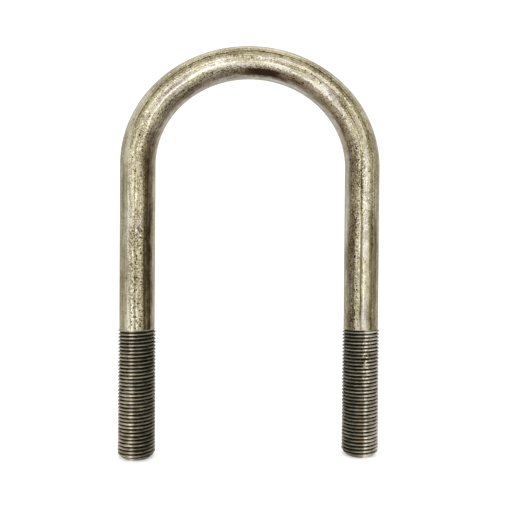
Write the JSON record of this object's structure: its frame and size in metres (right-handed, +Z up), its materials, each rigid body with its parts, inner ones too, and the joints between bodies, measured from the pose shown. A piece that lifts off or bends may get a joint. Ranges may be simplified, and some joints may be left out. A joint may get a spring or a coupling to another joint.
{
  "type": "u-bolt",
  "caption": "Round-bar U-bolt with a threaded end on each leg, for clamping a tube or an axle to a plate, saddle or spring pack.",
  "frame": {"origin": "on the axis of the held tube, midway between the legs and level with the two ends of the bend", "axes": "+Z up towards the crown of the bend, the legs point down -Z; +X from the left leg to the right leg; +Y along the held tube's axis, away from the viewer"},
  "size_m": [0.1128, 0.0158, 0.1764],
  "materials": {
    "bar_steel": "drawn round steel bar, warm grey with mottled oxide, fine lengthwise draw lines and small dark pits",
    "thread_steel": "rolled thread, smoother and darker than the bar, with bright crests and oiled dark roots"
  },
  "bodies": {
    "root": {"bend": "bar_steel", "left_shank": "bar_steel", "right_shank": "bar_steel", "left_thread": "thread_steel", "right_thread": "thread_steel"}
  },
  "joints": []
}
